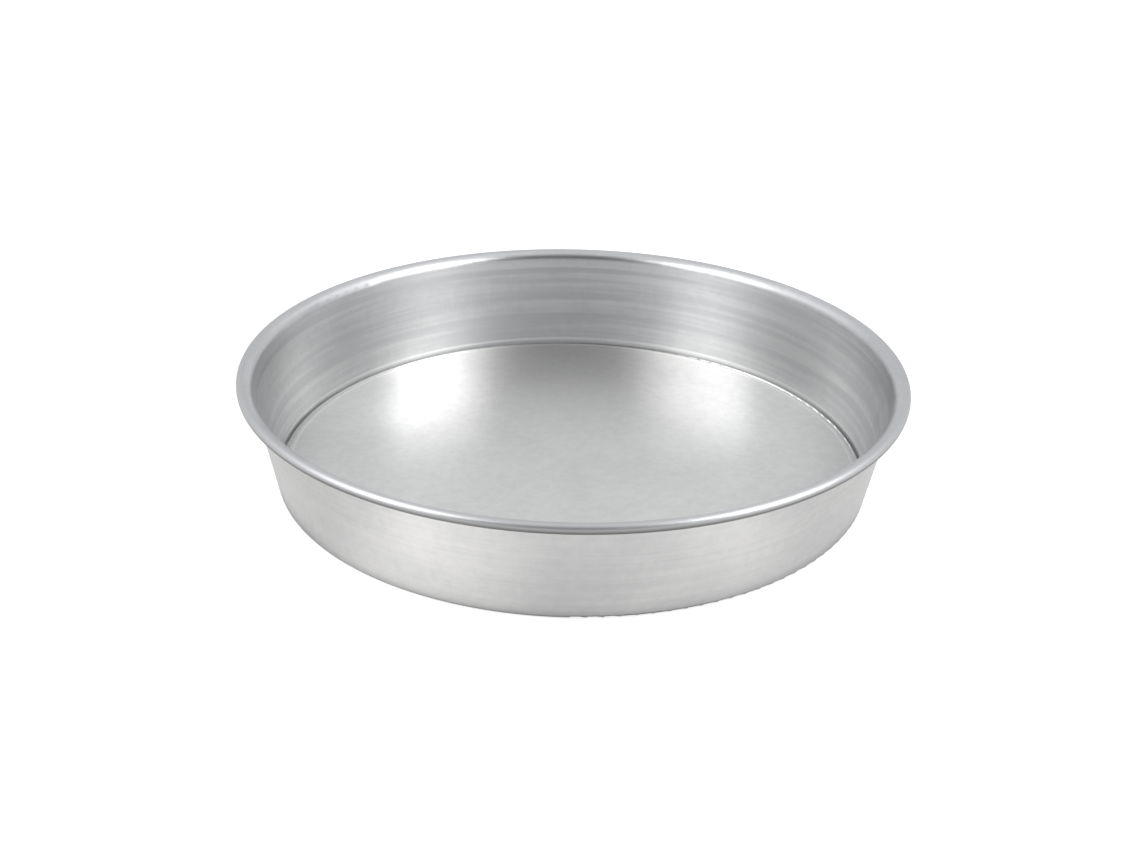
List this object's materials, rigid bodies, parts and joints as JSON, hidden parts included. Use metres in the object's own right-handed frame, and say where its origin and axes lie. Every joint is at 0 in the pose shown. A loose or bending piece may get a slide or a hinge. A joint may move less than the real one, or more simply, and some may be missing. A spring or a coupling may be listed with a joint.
{
  "type": "round cake tin",
  "caption": "Shallow round cake tin with sloping sides, a rolled rim and a flat loose base that lifts out through the mouth.",
  "frame": {"origin": "on the table below the tin's centre, at the middle of the foot", "axes": "+Z along the tin's axis, up out of its mouth"},
  "size_m": [0.305, 0.305, 0.051],
  "materials": {
    "side_sheet": "natural satin aluminium sheet, faintly ringed by turning, with fine scratches",
    "base_sheet": "natural satin aluminium sheet with fine circular brushing",
    "rim_wire": "galvanised steel wire, hidden inside the rolled rim"
  },
  "bodies": {
    "tin": {"tin_side": "side_sheet", "rim_wire": "rim_wire"},
    "base": {"loose_base": "base_sheet"}
  },
  "joints": [
    {"name": "base_lift", "type": "slide", "parent": "tin", "child": "base", "axis": [0, 0, 1], "range_m": [0, 0.06]}
  ]
}
